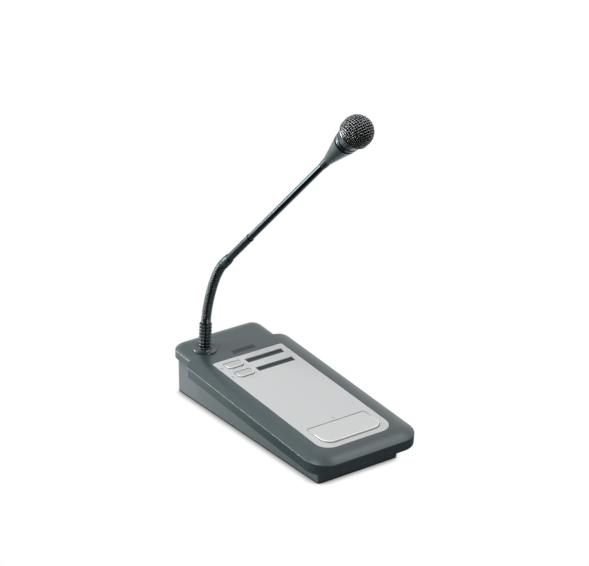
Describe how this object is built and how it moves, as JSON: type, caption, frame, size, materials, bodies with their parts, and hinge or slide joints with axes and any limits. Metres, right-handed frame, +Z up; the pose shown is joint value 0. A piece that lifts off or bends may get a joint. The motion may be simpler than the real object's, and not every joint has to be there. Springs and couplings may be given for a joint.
{
  "type": "paging call station",
  "caption": "Desk paging station: sloping base with a large talk key, small zone keys with label slots and lights, and a microphone on a flexible ribbed neck.",
  "frame": {"origin": "on the table plane under the middle of the base", "axes": "+Z up, -Y towards the user, +X to the user's right; the microphone stem stands at the rear left"},
  "size_m": [0.108, 0.2354, 0.3099],
  "materials": {
    "cover_plastic": "fine textured, dark slate",
    "housing_plastic": "fine textured, dark slate",
    "panel_silver": "satin silver, lightly brushed",
    "key_silver": "satin silver paint",
    "label_dark": "plain dark insert",
    "light_pipe": "unlit clear light pipe",
    "badge_dark": "plain dark inlay",
    "pin_steel": "ground",
    "board_green": "lacquered circuit board",
    "switch_black": "moulded",
    "screw_zinc": "zinc plated",
    "weight_steel": "raw steel plate",
    "foot_rubber": "matt",
    "flange_metal": "satin dark, bright worn rim",
    "bush_rubber": "soft, ribbed",
    "neck_metal": "satin black wound neck",
    "collar_metal": "satin black",
    "tube_metal": "semi-gloss black lacquer",
    "mic_dark": "moulded",
    "mic_shell": "satin moulded",
    "bezel_metal": "satin, slightly brighter ring",
    "mesh_wire": "blackened woven wire",
    "mic_foam": "open foam",
    "capsule_metal": "plain can"
  },
  "bodies": {
    "station": {"lower_housing": "housing_plastic", "top_cover": "cover_plastic", "front_panel": "panel_silver", "label_strip_1": "label_dark", "label_strip_2": "label_dark", "zone_led_1": "light_pipe", "zone_led_2": "light_pipe", "talk_led": "light_pipe", "blank_badge": "badge_dark", "talk_hinge_pin": "pin_steel", "zone_hinge_pin_1": "pin_steel", "zone_hinge_pin_2": "pin_steel", "main_board": "board_green", "talk_switch": "switch_black", "zone_switch_1": "switch_black", "zone_switch_2": "switch_black", "board_screws": "screw_zinc", "case_screws": "screw_zinc", "ballast_plate": "weight_steel", "ballast_screws": "screw_zinc", "feet": "foot_rubber", "cable_gland": "foot_rubber", "cable_clamp": "switch_black", "clamp_screws": "screw_zinc", "stem_flange": "flange_metal", "stem_bush": "bush_rubber", "stem_washer": "screw_zinc", "stem_nut": "screw_zinc", "neck_base": "neck_metal"},
    "talk_key": {"talk_key": "key_silver"},
    "zone_key_1": {"zone_key_1": "key_silver"},
    "zone_key_2": {"zone_key_2": "key_silver"},
    "neck_link_1": {"neck_link_1": "neck_metal"},
    "neck_link_2": {"neck_link_2": "neck_metal"},
    "neck_link_3": {"neck_link_3": "neck_metal"},
    "neck_link_4": {"neck_link_4": "neck_metal"},
    "neck_link_5": {"neck_link_5": "neck_metal"},
    "neck_link_6": {"neck_link_6": "neck_metal"},
    "neck_link_7": {"neck_link_7": "neck_metal"},
    "microphone": {"neck_collar": "collar_metal", "stem_sleeve": "tube_metal", "stem_tube": "tube_metal", "mic_boot": "mic_dark", "mic_cone": "mic_shell", "mic_oring": "bush_rubber", "mic_band": "mic_shell", "mic_bezel": "bezel_metal", "mic_mesh": "mesh_wire", "mic_foam": "mic_foam", "mic_capsule": "capsule_metal"}
  },
  "joints": [
    {"name": "talk_press", "type": "hinge", "parent": "station", "child": "talk_key", "pos_m": [0, -0.068, 0.02851], "axis": [1, 0, 0], "range_deg": [0, 3], "stiffness_Nm_per_rad": 0.4, "springref_deg": -2.86},
    {"name": "zone_press_1", "type": "hinge", "parent": "station", "child": "zone_key_1", "pos_m": [-0.02095, 0.05741, 0.03842], "axis": [1, 0, 0], "range_deg": [0, 3], "stiffness_Nm_per_rad": 0.08, "springref_deg": -2.86},
    {"name": "zone_press_2", "type": "hinge", "parent": "station", "child": "zone_key_2", "pos_m": [-0.02095, 0.04076, 0.0371], "axis": [1, 0, 0], "range_deg": [0, 3], "stiffness_Nm_per_rad": 0.08, "springref_deg": -2.86},
    {"name": "neck_nod_1", "type": "hinge", "parent": "station", "child": "neck_link_1", "pos_m": [-0.0273, 0.08692, 0.07536], "axis": [0.9819, 0.189, 0.0149], "range_deg": [-9, 6]},
    {"name": "neck_sway_1", "type": "hinge", "parent": "neck_link_1", "child": "neck_link_2", "pos_m": [-0.02714, 0.08542, 0.08403], "axis": [-0.1871, 0.9532, 0.2374], "range_deg": [-9, 9]},
    {"name": "neck_nod_2", "type": "hinge", "parent": "neck_link_2", "child": "neck_link_3", "pos_m": [-0.02687, 0.08335, 0.09258], "axis": [0.9819, 0.189, 0.0149], "range_deg": [-9, 6]},
    {"name": "neck_sway_2", "type": "hinge", "parent": "neck_link_3", "child": "neck_link_4", "pos_m": [-0.02652, 0.08086, 0.10101], "axis": [-0.1836, 0.9279, 0.3244], "range_deg": [-9, 9]},
    {"name": "neck_nod_3", "type": "hinge", "parent": "neck_link_4", "child": "neck_link_5", "pos_m": [-0.02611, 0.07803, 0.10933], "axis": [0.9819, 0.189, 0.0149], "range_deg": [-9, 6]},
    {"name": "neck_sway_3", "type": "hinge", "parent": "neck_link_5", "child": "neck_link_6", "pos_m": [-0.02561, 0.0748, 0.1175], "axis": [-0.176, 0.8796, 0.442], "range_deg": [-9, 9]},
    {"name": "neck_nod_4", "type": "hinge", "parent": "neck_link_6", "child": "neck_link_7", "pos_m": [-0.02499, 0.07096, 0.12539], "axis": [0.9819, 0.189, 0.0149], "range_deg": [-9, 6]},
    {"name": "neck_sway_4", "type": "hinge", "parent": "neck_link_7", "child": "microphone", "pos_m": [-0.02418, 0.0662, 0.13275], "axis": [-0.1467, 0.7076, 0.6912], "range_deg": [-9, 9]}
  ]
}
